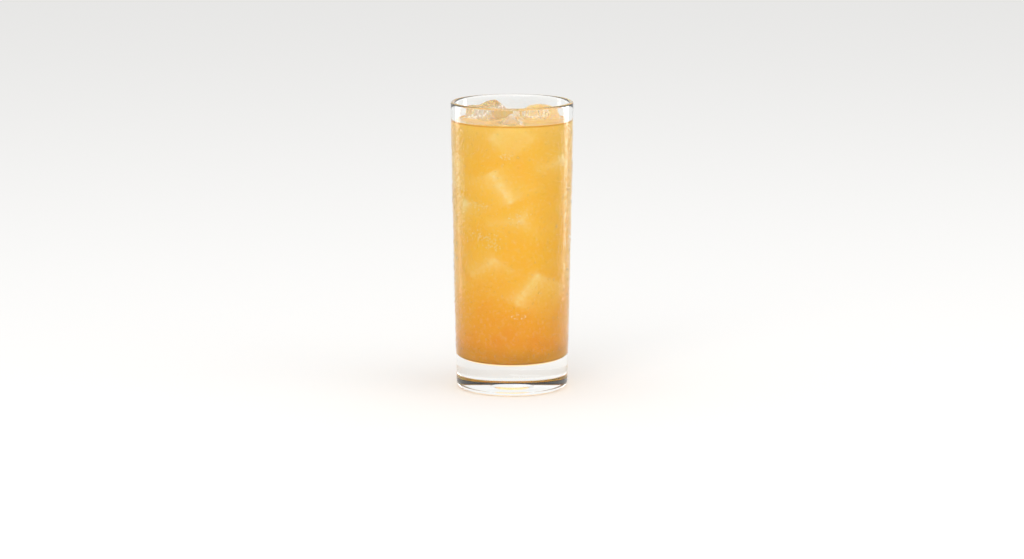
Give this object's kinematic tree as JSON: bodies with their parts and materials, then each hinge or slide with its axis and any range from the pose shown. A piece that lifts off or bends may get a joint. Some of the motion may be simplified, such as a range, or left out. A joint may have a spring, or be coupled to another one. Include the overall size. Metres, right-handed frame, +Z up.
{
  "type": "glass of citrus mocktail",
  "caption": "Tall straight-sided tumbler with a thick clear base, filled nearly to the rim with a cloudy orange-yellow citrus drink and ice standing out of its surface.",
  "frame": {"origin": "on the glass's axis, in the plane that its foot rests on", "axes": "+Z up along the glass's axis, -Y towards the side it is served to, +X to that viewer's right"},
  "size_m": [0.0634, 0.0634, 0.1509],
  "materials": {
    "clear_glass": "clear, fire-polished",
    "citrus_drink": "cloudy citrus drink, wet",
    "ice": "wet clear ice"
  },
  "bodies": {
    "root": {"glass": "clear_glass", "drink": "citrus_drink", "ice_cube_left": "ice", "ice_cube_right": "ice", "ice_cube_front": "ice"}
  },
  "joints": []
}
